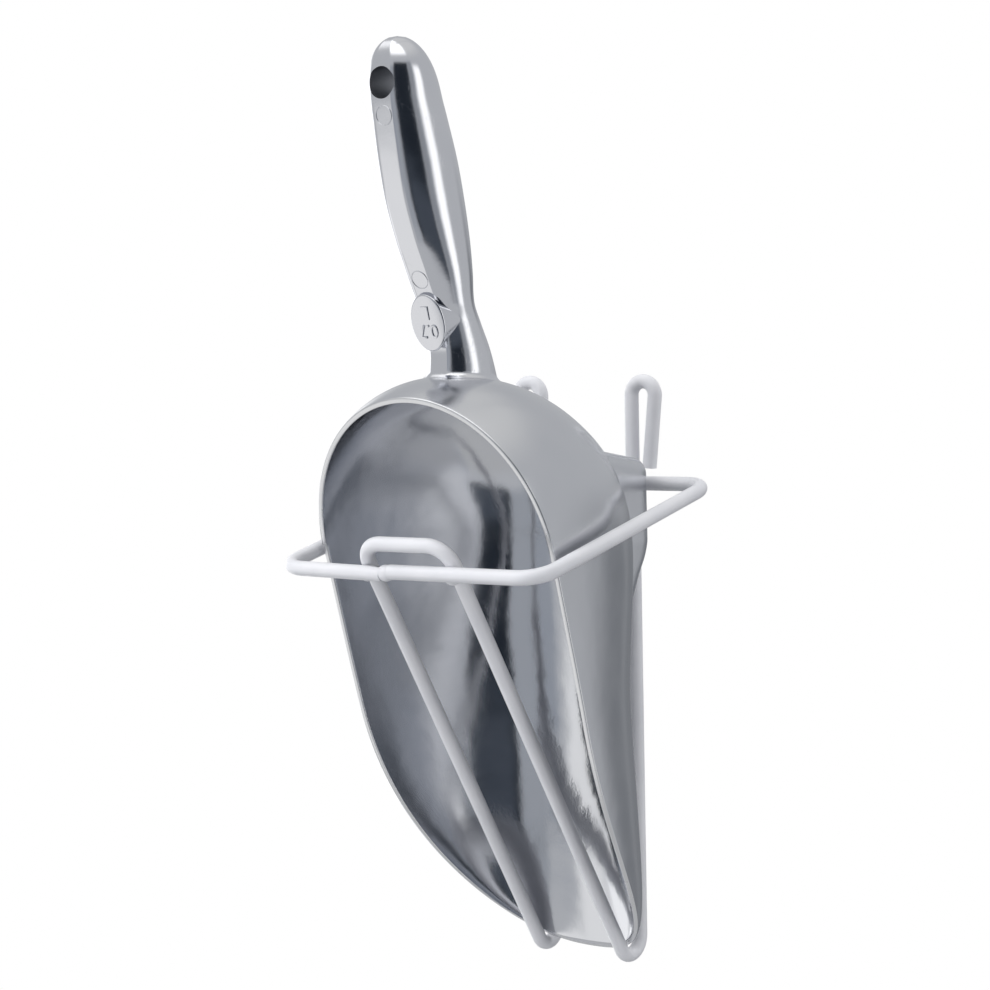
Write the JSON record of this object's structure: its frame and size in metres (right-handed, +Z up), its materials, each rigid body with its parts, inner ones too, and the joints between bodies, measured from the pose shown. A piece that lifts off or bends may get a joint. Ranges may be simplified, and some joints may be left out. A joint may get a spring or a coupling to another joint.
{
  "type": "feed scoop in wire wall holder",
  "caption": "Cast-metal feed scoop with a deep bowl, flat foot, thumb pad and drilled grip, resting in a plastic-coated wire wall holder with hanging loops.",
  "frame": {"origin": "on the wall plane, midway between the two hanging loops, at the height of the screws in them", "axes": "+Z up, +Y into the wall, +X to the right for someone facing the wall"},
  "size_m": [0.112, 0.111, 0.3177],
  "materials": {
    "cast_aluminium": "polished sand casting, satin to bright",
    "steel_wire": "drawn mild steel wire, welded at the crossings",
    "white_coating": "smooth dipped plastic coating, satin gloss"
  },
  "bodies": {
    "holder": {"ring_wire": "steel_wire", "cradle_wire": "steel_wire", "wire_coating": "white_coating"},
    "scoop_body": {"scoop": "cast_aluminium"}
  },
  "joints": [
    {"name": "scoop_lift", "type": "slide", "parent": "holder", "child": "scoop_body", "axis": [0, -0.045, 0.999], "range_m": [0, 0.22]}
  ]
}
